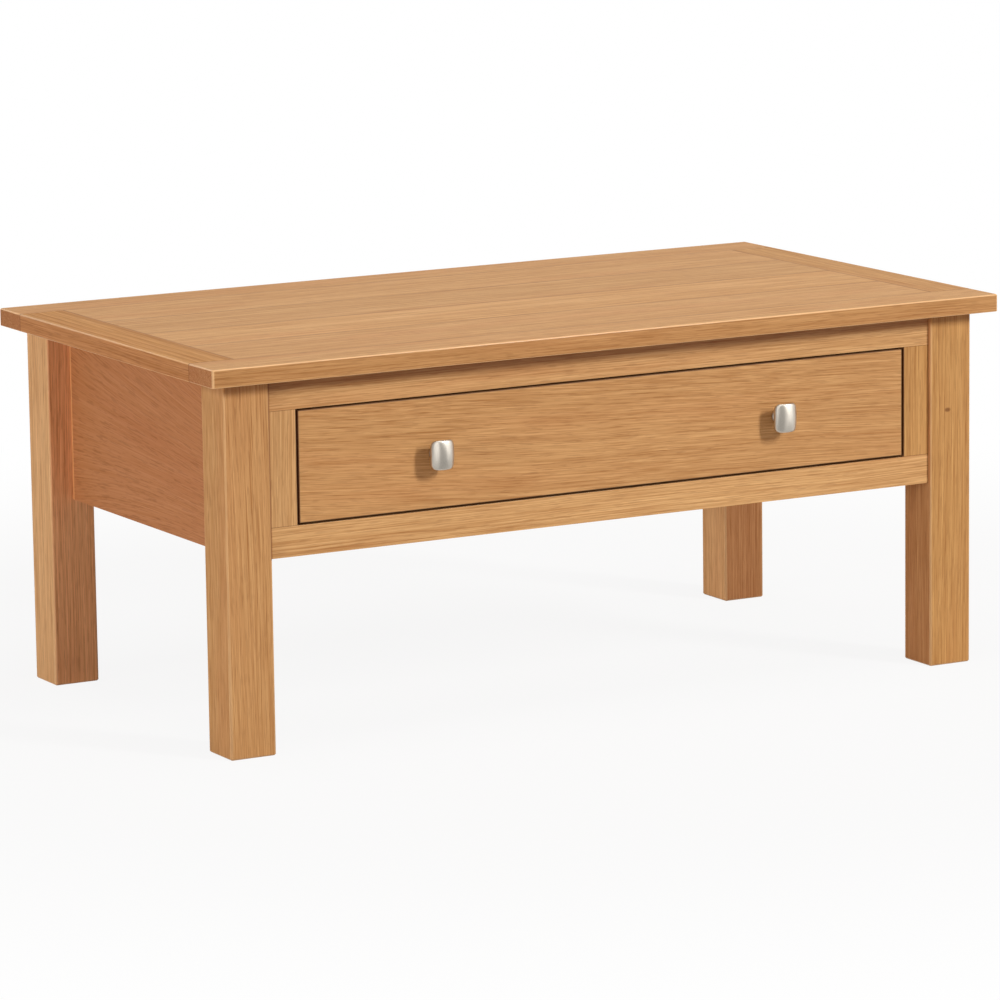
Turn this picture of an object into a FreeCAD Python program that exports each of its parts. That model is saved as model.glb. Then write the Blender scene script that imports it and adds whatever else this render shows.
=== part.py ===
import FreeCAD, Part
import os

# Oak coffee table with one wide drawer, in millimetres.
# The origin is on the floor under the middle of the top. +X runs along the length,
# to the right for someone facing the drawer, +Y runs to the back and +Z is up.

# Overall sizes and the top
table_length = 1000.0
table_depth = 550.0
table_height = 430.0
top_thickness = 20.0
top_overhang_side = 23.0
top_overhang_front = 22.0
top_strip_width = 57.0
top_crossband_width = 54.0
top_corner_radius = 3.0
top_upper_arris = 1.8
top_lower_arris = 1.0
field_board_count = 4

# Legs
leg_width = 54.5
leg_arris = 2.5
leg_foot_chamfer = 1.5

# Front frame round the drawer
frame_setback = 5.0
rail_depth = 44.0
stile_depth = 22.0
stile_width = 34.0
top_rail_height = 35.0
bottom_rail_height = 33.5
opening_height = 127.0
tenon_length = 25.0
tenon_thickness = 14.0
tenon_shoulder = 6.0
mortise_end_clearance = 1.0

# Side and back panels
panel_setback = 28.5
panel_thickness = 16.0
tongue_length = 10.0
tongue_thickness = 8.0
groove_end_clearance = 0.5

# Runners, guides and kickers that carry the drawer
runner_thickness = 20.0
runner_bearing = 24.0
guide_height = 25.0

# Drawer stops on the bottom rail
stop_length = 40.0
stop_depth = 18.0
stop_height = 6.0
stop_place_share = 0.5

# Drawer
drawer_gap = 2.0
drawer_runner_clearance = 0.2
drawer_front_thickness = 20.0
drawer_front_arris = 1.2
drawer_side_thickness = 12.0
drawer_back_thickness = 12.0
drawer_rear_room = 12.0
drawer_back_inset = 10.0
drawer_housing_depth = 4.0
drawer_bottom_thickness = 6.0
drawer_bottom_rise = 12.0
drawer_groove_depth = 6.0
drawer_groove_clearance = 0.5
dovetail_lap = 6.0
dovetail_count = 3
dovetail_middle_share = 0.5
dovetail_wide_share = 0.62
dovetail_narrow_share = 0.46

# Knobs
knob_place_share = 0.568
knob_rise_share = 0.5
knob_width = 29.0
knob_height = 33.0
knob_corner_radius = 8.0
knob_projection = 24.0
knob_head_depth = 13.0
knob_barrel_radius = 19.0
knob_crown_radius = 45.0
knob_base_radius = 8.0
knob_base_thickness = 2.0
knob_stem_radius = 6.0

# Wood screws, knob screws and dowels
screw_radius = 2.0
screw_head_radius = 4.0
screw_head_height = 2.4
screw_slot_width = 1.0
screw_slot_depth = 1.0
screw_clearance = 0.15
screw_recess_share = 0.5
screw_bite_share = 0.6
knob_screw_bite_share = 0.6
kicker_screw_shares = (-0.375, -0.125, 0.125, 0.375)
rail_screw_shares = (-0.36, 0.0, 0.36)
runner_screw_shares = (-0.36, 0.0, 0.36)
dowel_radius = 4.0
dowel_length = 24.0
dowel_clearance = 0.15

# Cuts run past the faces that they leave through by this much
cut_overrun = 2.0

# Places worked out from the sizes above
top_half_length = table_length / 2
top_half_depth = table_depth / 2
top_underside = table_height - top_thickness
leg_outer_x = top_half_length - top_overhang_side
leg_outer_y = top_half_depth - top_overhang_front
leg_inner_x = leg_outer_x - leg_width
leg_inner_y = leg_outer_y - leg_width
frame_face_y = -(leg_outer_y - frame_setback)
rail_back_y = frame_face_y + rail_depth
stile_back_y = frame_face_y + stile_depth
opening_top = top_underside - top_rail_height
opening_bottom = opening_top - opening_height
opening_half_width = leg_inner_x - stile_width
frame_bottom = opening_bottom - bottom_rail_height
tenon_y = (frame_face_y + rail_back_y) / 2
panel_outer_x = leg_outer_x - panel_setback
panel_inner_x = panel_outer_x - panel_thickness
panel_outer_y = leg_outer_y - panel_setback
panel_inner_y = panel_outer_y - panel_thickness
runner_inner_x = opening_half_width - runner_bearing
runner_bottom = opening_bottom - runner_thickness
guide_top = opening_bottom + guide_height
field_half_length = top_half_length - top_crossband_width
field_half_depth = top_half_depth - top_strip_width
kicker_middle_x = (runner_inner_x + leg_inner_x) / 2

# Places on the drawer
drawer_half_width = opening_half_width - drawer_gap
drawer_inner_x = drawer_half_width - drawer_side_thickness
drawer_front_back_y = frame_face_y + drawer_front_thickness
drawer_front_bottom = opening_bottom + drawer_gap
drawer_top = opening_top - drawer_gap
drawer_foot = opening_bottom + drawer_runner_clearance
drawer_end_y = panel_inner_y - drawer_rear_room
drawer_back_rear_y = drawer_end_y - drawer_back_inset
drawer_back_front_y = drawer_back_rear_y - drawer_back_thickness
drawer_floor_bottom = drawer_foot + drawer_bottom_rise
drawer_floor_top = drawer_floor_bottom + drawer_bottom_thickness
knob_x = drawer_half_width * knob_place_share
knob_z = drawer_front_bottom + (drawer_top - drawer_front_bottom) * knob_rise_share
knob_face_y = frame_face_y - knob_projection
knob_head_back_y = knob_face_y + knob_head_depth

LEFT, RIGHT = -1, 1
FRONT, BACK = -1, 1
UP = FreeCAD.Vector(0, 0, 1)


def block(x_span, y_span, z_span):
    """Box between two places on each axis."""
    size = [span[1] - span[0] for span in (x_span, y_span, z_span)]
    return Part.makeBox(*size, FreeCAD.Vector(x_span[0], y_span[0], z_span[0]))


def on_side(side, near, far):
    """Span between two distances from the middle plane, on one side of it."""
    return tuple(sorted((side * near, side * far)))


def about(middle, length):
    """Span of one length, centred on a place."""
    return (middle - length / 2, middle + length / 2)


def rod(radius, start, direction, length):
    """Round bar from a point, along a direction."""
    return Part.makeCylinder(radius, length, start, direction)


def upright_edges(shape):
    """Straight edges that run up and down."""
    return [edge for edge in shape.Edges if abs(edge.tangentAt(edge.FirstParameter).z) == 1]


def level_edges(shape, height):
    """Edges that lie all along one height."""
    flat = []
    for edge in shape.Edges:
        if max(abs(vertex.Z - height) for vertex in edge.Vertexes) < top_lower_arris / 2:
            flat.append(edge)
    return flat


def solid(shape):
    """The one solid of a cut or joined shape, with split faces merged."""
    return shape.removeSplitter().Solids[0]


# Screws, their holes and the dowels

def screw(seat, direction, length):
    """Slotted screw: a head standing on its seat and a shank along the direction."""
    head_start = seat - direction * screw_head_height
    head = rod(screw_head_radius, head_start, direction, screw_head_height)
    shank = rod(screw_radius, seat, direction, length)
    slot = Part.makeBox(screw_head_radius + screw_head_radius, screw_slot_width, screw_slot_depth)
    slot.translate(FreeCAD.Vector(-screw_head_radius, -screw_slot_width / 2, 0))
    slot.Placement = FreeCAD.Placement(head_start, FreeCAD.Rotation(UP, direction)).multiply(slot.Placement)
    return solid(head.fuse(shank).cut(slot))


def screw_hole(seat, direction, length, recess):
    """Room for a screw: a hole for the shank and a wider recess that the head sinks into."""
    shank = rod(screw_radius + screw_clearance, seat, direction, length + screw_clearance)
    mouth = seat - direction * recess
    return shank.fuse(rod(screw_head_radius + screw_clearance, mouth, direction, recess))


def top_screw_places():
    """Seats of the screws that hold the top, through the kickers and the top rail."""
    seat_z = opening_top + top_rail_height * screw_recess_share
    kicker_span = field_half_depth + field_half_depth
    rail_span = opening_half_width + opening_half_width
    places = []
    for side in (LEFT, RIGHT):
        for share in kicker_screw_shares:
            places.append(FreeCAD.Vector(side * kicker_middle_x, share * kicker_span, seat_z))
    for share in rail_screw_shares:
        places.append(FreeCAD.Vector(share * rail_span, tenon_y, seat_z))
    return places


def top_screws():
    """Screws up into the top, and the holes that they stand in."""
    wood = top_rail_height * (1 - screw_recess_share)
    length = wood + top_thickness * screw_bite_share
    recess = top_rail_height * screw_recess_share
    screws = [screw(seat, UP, length) for seat in top_screw_places()]
    holes = [screw_hole(seat, UP, length, recess + cut_overrun) for seat in top_screw_places()]
    return Part.makeCompound(screws), Part.makeCompound(holes)


def runner_screws():
    """Screws through guide and packer into the side panel, and their holes."""
    recess = stile_width * screw_recess_share
    seat_x = opening_half_width + recess
    length = panel_inner_x + panel_thickness * screw_bite_share - seat_x
    seat_z = (opening_bottom + guide_top) / 2
    span = leg_inner_y + leg_inner_y
    screws, holes = [], []
    for side in (LEFT, RIGHT):
        outward = FreeCAD.Vector(side, 0, 0)
        for share in runner_screw_shares:
            seat = FreeCAD.Vector(side * seat_x, share * span, seat_z)
            screws.append(screw(seat, outward, length))
            holes.append(screw_hole(seat, outward, length, recess + cut_overrun))
    return Part.makeCompound(screws), Part.makeCompound(holes)


def knob_screws():
    """Screws from inside the drawer through its front into the knobs, and their holes."""
    forward = FreeCAD.Vector(0, -1, 0)
    bite = (knob_projection - knob_head_depth) * (1 + knob_screw_bite_share)
    length = drawer_front_thickness + bite
    screws, holes = [], []
    for side in (LEFT, RIGHT):
        seat = FreeCAD.Vector(side * knob_x, drawer_front_back_y, knob_z)
        screws.append(screw(seat, forward, length))
        holes.append(screw_hole(seat, forward, length, cut_overrun))
    return Part.makeCompound(screws), Part.makeCompound(holes)


def stile_dowels():
    """Dowels across the joints of the stiles and rails, and their holes."""
    middle_x = (opening_half_width + leg_inner_x) / 2
    middle_y = (frame_face_y + stile_back_y) / 2
    dowels, holes = [], []
    for side in (LEFT, RIGHT):
        for joint_z in (opening_bottom, opening_top):
            start = FreeCAD.Vector(side * middle_x, middle_y, joint_z - dowel_length / 2)
            dowels.append(rod(dowel_radius, start, UP, dowel_length))
            reach = dowel_length + dowel_clearance + dowel_clearance
            deeper = start - UP * dowel_clearance
            holes.append(rod(dowel_radius + dowel_clearance, deeper, UP, reach))
    return Part.makeCompound(dowels), Part.makeCompound(holes)


# The top: two full-length strips, two crossbands between them and the field boards

def top_slab():
    """The whole top with its rounded rim, which the boards are cut from."""
    slab = block(
        (-top_half_length, top_half_length),
        (-top_half_depth, top_half_depth),
        (top_underside, table_height),
    )
    slab = slab.makeFillet(top_corner_radius, upright_edges(slab))
    slab = slab.makeFillet(top_upper_arris, level_edges(slab, table_height))
    return slab.makeFillet(top_lower_arris, level_edges(slab, top_underside))


def top_boards(holes):
    """The boards of the top, by name."""
    full_length = (-top_half_length, top_half_length)
    between_strips = (-field_half_depth, field_half_depth)
    plans = {
        "top_front_strip": (full_length, on_side(FRONT, field_half_depth, top_half_depth)),
        "top_back_strip": (full_length, on_side(BACK, field_half_depth, top_half_depth)),
        "top_left_crossband": (on_side(LEFT, field_half_length, top_half_length), between_strips),
        "top_right_crossband": (on_side(RIGHT, field_half_length, top_half_length), between_strips),
    }
    board_width = (field_half_depth + field_half_depth) / field_board_count
    for number in range(field_board_count):
        front = -field_half_depth + number * board_width
        field_length = (-field_half_length, field_half_length)
        plans[f"top_field_board_{number + 1}"] = (field_length, (front, front + board_width))
    slab = top_slab()
    thickness = (top_underside, table_height)
    boards = {}
    for name, (x_span, y_span) in plans.items():
        boards[name] = solid(slab.common(block(x_span, y_span, thickness)).cut(holes))
    return boards


# Legs with mortises for the rails and grooves for the panels

def rail_tenon(side, z_span, end_clearance):
    """Tenon on one end of a rail. With an end clearance it is the mortise for it."""
    reach = leg_inner_x + tenon_length + end_clearance
    z_low, z_high = z_span
    return block(
        on_side(side, leg_inner_x, reach),
        about(tenon_y, tenon_thickness),
        (z_low + tenon_shoulder, z_high - tenon_shoulder),
    )


def side_tongue(side, end, end_clearance):
    """Tongue on one end of a side panel. With an end clearance it is the groove for it."""
    reach = leg_inner_y + tongue_length + end_clearance
    middle = side * (panel_inner_x + panel_outer_x) / 2
    return block(
        about(middle, tongue_thickness),
        on_side(end, leg_inner_y, reach),
        (frame_bottom, top_underside),
    )


def back_tongue(side, end_clearance):
    """Tongue on one end of the back panel. With an end clearance it is the groove for it."""
    reach = leg_inner_x + tongue_length + end_clearance
    middle = (panel_inner_y + panel_outer_y) / 2
    return block(
        on_side(side, leg_inner_x, reach),
        about(middle, tongue_thickness),
        (frame_bottom, top_underside),
    )


TOP_RAIL_SPAN = (opening_top, top_underside)
BOTTOM_RAIL_SPAN = (frame_bottom, opening_bottom)


def leg(side, end):
    """One square leg with rounded arrises, a chamfered foot and its sockets."""
    post = block(
        on_side(side, leg_inner_x, leg_outer_x),
        on_side(end, leg_inner_y, leg_outer_y),
        (0, top_underside),
    )
    post = post.makeFillet(leg_arris, upright_edges(post))
    post = post.makeChamfer(leg_foot_chamfer, level_edges(post, 0))
    post = post.cut(side_tongue(side, end, groove_end_clearance))
    if end == FRONT:
        for z_span in (TOP_RAIL_SPAN, BOTTOM_RAIL_SPAN):
            post = post.cut(rail_tenon(side, z_span, mortise_end_clearance))
    else:
        post = post.cut(back_tongue(side, groove_end_clearance))
    return solid(post)


# Front frame

def rail(z_span, holes):
    """One rail between the front legs, with a tenon on each end."""
    bar = block((-leg_inner_x, leg_inner_x), (frame_face_y, rail_back_y), z_span)
    for side in (LEFT, RIGHT):
        bar = bar.fuse(rail_tenon(side, z_span, 0))
    for hole in holes:
        bar = bar.cut(hole)
    return solid(bar)


def stile(side, holes):
    """Upright between the rails, beside the drawer."""
    post = block(
        on_side(side, opening_half_width, leg_inner_x),
        (frame_face_y, stile_back_y),
        (opening_bottom, opening_top),
    )
    return solid(post.cut(holes))


# Panels

def side_panel(side, holes):
    """Side panel with a tongue on each end, let into the legs."""
    board = block(
        on_side(side, panel_inner_x, panel_outer_x),
        (-leg_inner_y, leg_inner_y),
        (frame_bottom, top_underside),
    )
    for end in (FRONT, BACK):
        board = board.fuse(side_tongue(side, end, 0))
    return solid(board.cut(holes))


def back_panel():
    """Back panel with a tongue on each end, let into the back legs."""
    board = block(
        (-leg_inner_x, leg_inner_x),
        (panel_inner_y, panel_outer_y),
        (frame_bottom, top_underside),
    )
    for side in (LEFT, RIGHT):
        board = board.fuse(back_tongue(side, 0))
    return solid(board)


# What carries the drawer

def drawer_carriers(side, top_holes, runner_holes):
    """Runner under the drawer side, guide beside it, kicker over it and packer, by name."""
    hand = {LEFT: "left", RIGHT: "right"}[side]
    behind_rail = (rail_back_y, panel_inner_y)
    runner = block(
        on_side(side, runner_inner_x, leg_inner_x),
        behind_rail,
        (runner_bottom, opening_bottom),
    )
    guide = block(
        on_side(side, opening_half_width, leg_inner_x),
        (stile_back_y, panel_inner_y),
        (opening_bottom, guide_top),
    )
    kicker = block(
        on_side(side, runner_inner_x, leg_inner_x),
        behind_rail,
        (opening_top, top_underside),
    )
    packer = block(
        on_side(side, leg_inner_x, panel_inner_x),
        (-leg_inner_y, leg_inner_y),
        (runner_bottom, guide_top),
    )
    return {
        f"{hand}_drawer_runner": runner,
        f"{hand}_drawer_guide": solid(guide.cut(runner_holes)),
        f"{hand}_drawer_kicker": solid(kicker.cut(top_holes)),
        f"{hand}_runner_packer": solid(packer.cut(runner_holes)),
    }


def drawer_stop(side):
    """Small block on the bottom rail that the closed drawer front rests against."""
    return block(
        about(side * opening_half_width * stop_place_share, stop_length),
        (drawer_front_back_y, drawer_front_back_y + stop_depth),
        (opening_bottom, opening_bottom + stop_height),
    )


# Drawer with lapped dovetails at the front and a housed back

def dovetails(side):
    """Tails on the front end of one drawer side."""
    pitch = (drawer_top - drawer_front_bottom) / dovetail_count
    tip_y = frame_face_y + dovetail_lap
    outer_x = min(on_side(side, drawer_inner_x, drawer_half_width))
    tails = []
    for number in range(dovetail_count):
        middle = drawer_front_bottom + (number + dovetail_middle_share) * pitch
        tip_low, tip_high = about(middle, pitch * dovetail_wide_share)
        root_low, root_high = about(middle, pitch * dovetail_narrow_share)
        outline = [
            FreeCAD.Vector(outer_x, tip_y, tip_low),
            FreeCAD.Vector(outer_x, tip_y, tip_high),
            FreeCAD.Vector(outer_x, drawer_front_back_y, root_high),
            FreeCAD.Vector(outer_x, drawer_front_back_y, root_low),
        ]
        face = Part.Face(Part.makePolygon(outline + outline[:1]))
        tails.append(face.extrude(FreeCAD.Vector(drawer_side_thickness, 0, 0)))
    return Part.makeCompound(tails)


def drawer_floor(clearance):
    """Plywood bottom, from the front's groove to the rear. With clearance it is the groove."""
    half = drawer_inner_x + drawer_groove_depth - drawer_groove_clearance + clearance
    front = drawer_front_back_y - drawer_groove_depth + drawer_groove_clearance - clearance
    return block((-half, half), (front, drawer_end_y), (drawer_floor_bottom, drawer_floor_top))


def drawer_back():
    """Back board, standing on the bottom and housed in both sides."""
    half = drawer_inner_x + drawer_housing_depth
    return block((-half, half), (drawer_back_front_y, drawer_back_rear_y), (drawer_floor_top, drawer_top))


def drawer_side(side):
    """Drawer side with its tails, the housing for the back and the groove for the bottom."""
    board = block(
        on_side(side, drawer_inner_x, drawer_half_width),
        (drawer_front_back_y, drawer_end_y),
        (drawer_foot, drawer_top),
    )
    board = board.fuse(dovetails(side)).cut(drawer_back())
    return solid(board.cut(drawer_floor(drawer_groove_clearance)))


def drawer_front(holes):
    """Drawer front with a rounded face edge, dovetail sockets, a groove and knob holes."""
    board = block(
        (-drawer_half_width, drawer_half_width),
        (frame_face_y, drawer_front_back_y),
        (drawer_front_bottom, drawer_top),
    )
    face_edges = []
    for edge in board.Edges:
        if max(vertex.Y for vertex in edge.Vertexes) < frame_face_y + drawer_front_arris:
            face_edges.append(edge)
    board = board.makeFillet(drawer_front_arris, face_edges)
    for side in (LEFT, RIGHT):
        board = board.cut(dovetails(side))
    return solid(board.cut(drawer_floor(drawer_groove_clearance)).cut(holes))


def knob(side, holes):
    """Cushion-shaped knob: a barrel-fronted head on a waisted stem with a round foot."""
    forward = FreeCAD.Vector(0, -1, 0)
    foot_middle = FreeCAD.Vector(side * knob_x, frame_face_y, knob_z)
    foot = rod(knob_base_radius, foot_middle, forward, knob_base_thickness)
    stem_start = foot_middle + forward * knob_base_thickness
    stem_length = frame_face_y - knob_base_thickness - knob_head_back_y
    stem = Part.makeCone(knob_stem_radius, knob_base_radius, stem_length, stem_start, forward)
    head = block(
        about(side * knob_x, knob_width),
        (knob_face_y, knob_head_back_y),
        about(knob_z, knob_height),
    )
    corners = [edge for edge in head.Edges if abs(edge.tangentAt(edge.FirstParameter).y) == 1]
    head = head.makeFillet(knob_corner_radius, corners)
    barrel_start = FreeCAD.Vector(side * knob_x, knob_face_y + knob_barrel_radius, knob_z - knob_height)
    head = head.common(rod(knob_barrel_radius, barrel_start, UP, knob_height + knob_height))
    crown_start = FreeCAD.Vector(side * knob_x - knob_width, knob_face_y + knob_crown_radius, knob_z)
    crown_axis = FreeCAD.Vector(1, 0, 0)
    head = head.common(rod(knob_crown_radius, crown_start, crown_axis, knob_width + knob_width))
    return solid(foot.fuse(stem).fuse(head).cut(holes))


def table_parts():
    """Every piece of the table, by node name."""
    top_fixings, top_holes = top_screws()
    runner_fixings, runner_holes = runner_screws()
    knob_fixings, knob_holes = knob_screws()
    dowels, dowel_holes = stile_dowels()
    parts = top_boards(top_holes)
    for end, end_word in ((FRONT, "front"), (BACK, "back")):
        for side, hand in ((LEFT, "left"), (RIGHT, "right")):
            parts[f"{end_word}_{hand}_leg"] = leg(side, end)
    parts["front_top_rail"] = rail(TOP_RAIL_SPAN, (top_holes, dowel_holes))
    parts["front_bottom_rail"] = rail(BOTTOM_RAIL_SPAN, (dowel_holes,))
    parts["back_panel"] = back_panel()
    parts["drawer_front"] = drawer_front(knob_holes)
    for side, hand in ((LEFT, "left"), (RIGHT, "right")):
        parts[f"front_{hand}_stile"] = stile(side, dowel_holes)
        parts[f"{hand}_side_panel"] = side_panel(side, runner_holes)
        parts.update(drawer_carriers(side, top_holes, runner_holes))
        parts[f"{hand}_drawer_stop"] = drawer_stop(side)
        parts[f"drawer_{hand}_side"] = drawer_side(side)
        parts[f"{hand}_knob"] = knob(side, knob_holes)
    parts["drawer_back"] = drawer_back()
    parts["drawer_bottom"] = drawer_floor(0)
    parts["stile_dowels"] = dowels
    parts["top_screws"] = top_fixings
    parts["runner_screws"] = runner_fixings
    parts["knob_screws"] = knob_fixings
    return parts


os.makedirs("parts", exist_ok=True)
for node, shape in table_parts().items():
    shape.exportStep(f"parts/{node}.step")
    print(f"{node}: {len(shape.Solids)} solid, {shape.Volume:.0f} cubic mm, valid {shape.isValid()}")
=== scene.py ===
"""Looks of the oak coffee table: its finishes, its knobs, the studio light and the camera."""
import logging
import math
from dataclasses import dataclass, field, replace
from enum import Enum
from functools import partial
from typing import Callable

import bmesh
import bpy
from mathutils import Matrix, Vector


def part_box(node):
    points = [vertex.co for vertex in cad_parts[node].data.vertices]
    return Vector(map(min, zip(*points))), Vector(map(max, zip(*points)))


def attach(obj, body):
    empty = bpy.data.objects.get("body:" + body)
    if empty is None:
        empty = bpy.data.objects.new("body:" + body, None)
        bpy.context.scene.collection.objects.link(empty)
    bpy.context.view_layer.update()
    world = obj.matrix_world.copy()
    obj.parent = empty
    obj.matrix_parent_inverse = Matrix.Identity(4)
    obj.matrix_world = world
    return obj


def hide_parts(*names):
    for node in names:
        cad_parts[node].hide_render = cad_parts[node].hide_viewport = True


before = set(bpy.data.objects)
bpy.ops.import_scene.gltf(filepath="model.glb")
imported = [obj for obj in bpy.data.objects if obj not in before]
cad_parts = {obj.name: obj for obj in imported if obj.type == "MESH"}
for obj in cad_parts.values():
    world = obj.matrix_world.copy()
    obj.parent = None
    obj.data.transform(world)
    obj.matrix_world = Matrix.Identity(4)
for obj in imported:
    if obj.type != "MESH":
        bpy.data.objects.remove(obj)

LOG = logging.getLogger("coffee_table")
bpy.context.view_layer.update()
MM = 0.001
WHITE = (1.0, 1.0, 1.0)
FULL_CHANNEL = 255
CURVE_START = 0.04045
CURVE_SLOPE = 12.92
CURVE_OFFSET = 0.055
CURVE_POWER = 2.4

Colour = tuple[float, float, float]
Place = tuple[float, float, float]
Socket = bpy.types.NodeSocket


def linear(value: int) -> float:
    """Turns one channel of a colour on screen into a linear number, by the usual curve.

    Args:
        value: The channel, from 0 to 255.

    Returns:
        The linear number, from 0 to 1.
    """
    share = value / FULL_CHANNEL
    if share <= CURVE_START:
        return share / CURVE_SLOPE
    return ((share + CURVE_OFFSET) / (1 + CURVE_OFFSET)) ** CURVE_POWER


def paint(red: int, green: int, blue: int) -> Colour:
    """Turns a colour on screen, written as 0 to 255, into the linear numbers that a shader takes."""
    return (linear(red), linear(green), linear(blue))


class Axis(Enum):
    """A direction of the table, as an index into a place."""

    LENGTH = 0
    DEPTH = 1
    HEIGHT = 2


class Faces(Enum):
    """The faces of a board that show a line."""

    ALL = "all"
    FRONT = "front"
    EDGES = "edges"


class Tint(Enum):
    """How one board differs from the finish's own colour: mostly the wood's tone, while some tints paint
    light and shade onto a board's faces.
    """

    PLAIN = (1.0, 1.0, 1.0)
    LIGHT = (1.04, 1.04, 1.03)
    DIM = (0.96, 0.96, 0.95)
    AMBER = (0.81, 0.67, 0.40)
    TAWNY = (0.86, 0.79, 0.64)
    RUDDY = (0.92, 0.87, 0.82)
    SHADED = (0.82, 0.74, 0.66)
    # Painted shade on the sides of the front right leg.
    UMBER = (0.88, 0.79, 0.90)
    RUSSET = (0.90, 0.82, 1.12)
    # Painted light on the back left leg, a little less on its sides by the next tint.
    ROSY = (1.32, 1.17, 1.32)
    PALER = (0.85, 0.98, 0.95)
    # Painted shade on the back right leg, taken off its sides again by the next tint, which also paints
    # light there.
    SOMBRE = (0.64, 0.51, 0.48)
    SILVERED = (1.75, 2.15, 2.45)

    def over(self, colour: Colour) -> Colour:
        """Tints a colour."""
        return tuple(channel * share for channel, share in zip(colour, self.value))


class Bench:
    """Adds nodes to one tree and joins them."""

    def __init__(self, tree: bpy.types.NodeTree) -> None:
        """Keeps the tree that the nodes go into."""
        self.tree = tree

    def add(self, kind: str, **settings: object) -> bpy.types.Node:
        """Adds one node.

        Args:
            kind: The node's type name.
            **settings: Properties to set on it.

        Returns:
            The new node.
        """
        node = self.tree.nodes.new(kind)
        for name, value in settings.items():
            setattr(node, name, value)
        return node

    def feed(self, socket: Socket, value: object) -> None:
        """Links a socket to another one, or sets its value.

        Args:
            socket: The input.
            value: Another node's output, or a plain value.
        """
        if isinstance(value, bpy.types.NodeSocket):
            self.tree.links.new(value, socket)
        else:
            socket.default_value = value

    def feed_all(self, node: bpy.types.Node, values: tuple[object, ...]) -> bpy.types.Node:
        """Feeds a node's inputs in order.

        Args:
            node: The node.
            values: Its inputs' values or sockets.

        Returns:
            The same node.
        """
        for socket, value in zip(node.inputs, values):
            self.feed(socket, value)
        return node

    def sum(self, operation: str, *values: object) -> Socket:
        """Does one sum on numbers and returns its result."""
        return self.feed_all(self.add("ShaderNodeMath", operation=operation), values).outputs[0]

    def vector_sum(self, operation: str, *values: object) -> Socket:
        """Does one sum on vectors and returns the resulting vector."""
        node = self.add("ShaderNodeVectorMath", operation=operation)
        return self.feed_all(node, values).outputs["Vector"]

    def length(self, vector: Socket) -> Socket:
        """Measures a vector."""
        node = self.add("ShaderNodeVectorMath", operation="LENGTH")
        return self.feed_all(node, (vector,)).outputs["Value"]

    def scaled(self, vector: Socket, scale: Socket) -> Socket:
        """Makes a vector longer or shorter.

        Args:
            vector: The vector.
            scale: How many times as long it gets.

        Returns:
            The new vector.
        """
        node = self.add("ShaderNodeVectorMath", operation="SCALE")
        self.feed(node.inputs["Vector"], vector)
        self.feed(node.inputs["Scale"], scale)
        return node.outputs["Vector"]

    def split(self, vector: Socket) -> tuple[Socket, Socket, Socket]:
        """Takes a vector apart into its three numbers."""
        return tuple(self.feed_all(self.add("ShaderNodeSeparateXYZ"), (vector,)).outputs)

    def join(self, *values: object) -> Socket:
        """Makes a vector of three numbers."""
        return self.feed_all(self.add("ShaderNodeCombineXYZ"), values).outputs[0]

    def noise(self, vector: Socket, seed: object, detail: float) -> bpy.types.NodeOutputs:
        """Adds a noise texture that a seed varies.

        Args:
            vector: Where it is read.
            seed: The fourth coordinate.
            detail: How many finer layers it has.

        Returns:
            The noise node's outputs.
        """
        node = self.add("ShaderNodeTexNoise", noise_dimensions="4D")
        values = {"Vector": vector, "W": seed, "Scale": 1.0, "Detail": detail, "Roughness": 0.5}
        for name, value in values.items():
            self.feed(node.inputs[name], value)
        return node.outputs

    def ramp(self, value: Socket, start: object, end: object) -> Socket:
        """Rises smoothly from 0 to 1.

        Args:
            value: What it follows.
            start: Where it leaves 0.
            end: Where it reaches 1.

        Returns:
            The result, from 0 to 1.
        """
        node = self.add("ShaderNodeMapRange", interpolation_type="SMOOTHSTEP")
        for name, number in (("Value", value), ("From Min", start), ("From Max", end)):
            self.feed(node.inputs[name], number)
        return node.outputs["Result"]

    def inverse(self, mask: Socket) -> Socket:
        """Turns a mask round."""
        return self.sum("SUBTRACT", 1.0, mask)

    def spread(self, value: Socket, middle: float, width: float) -> Socket:
        """Spreads a value of 0 to 1 over a width about a middle."""
        return self.sum("MULTIPLY_ADD", value, width, middle - width / 2)

    def blend(self, share: object, first: object, second: object, mode: str = "MIX") -> Socket:
        """Mixes two colours.

        Args:
            share: How much of the second colour.
            first: The first colour.
            second: The second colour.
            mode: The way that they mix.

        Returns:
            The mixed colour's socket.
        """
        node = self.add("ShaderNodeMix", data_type="RGBA", blend_type=mode)
        self.feed(node.inputs["Factor"], share)
        for name, colour in (("A", first), ("B", second)):
            socket = next(s for s in node.inputs if s.name == name and s.type == "RGBA")
            self.feed(socket, colour if isinstance(colour, bpy.types.NodeSocket) else (*colour, 1.0))
        return next(s for s in node.outputs if s.type == "RGBA")

    def cover(self, mask: Socket, strength: float, under: Socket, over: Colour) -> Socket:
        """Lays a colour over another one where a mask shows it, as well as its strength lets it cover."""
        return self.blend(self.sum("MULTIPLY", mask, strength), under, over)

    def bump(self, height: Socket, strength: float, depth: float) -> Socket:
        """Turns a height into a normal.

        Args:
            height: The height, from 0 to 1.
            strength: How strongly it shows.
            depth: The real depth of the relief.

        Returns:
            The normal.
        """
        node = self.add("ShaderNodeBump")
        for name, value in (("Strength", strength), ("Distance", depth), ("Height", height)):
            self.feed(node.inputs[name], value)
        return node.outputs["Normal"]

    def show(self, kind: str, share: Socket, first: Socket, second: Socket) -> None:
        """Mixes two shaders by a share of the second, and shows the mix in an output of that kind."""
        mix = self.feed_all(self.add("ShaderNodeMixShader"), (share, first, second))
        self.feed(self.add(kind).inputs["Surface"], mix.outputs[0])


def numbers(*labels: str) -> tuple[tuple[str, str], ...]:
    """Sockets for plain numbers, by their labels."""
    return tuple((label, "Float") for label in labels)


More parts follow.
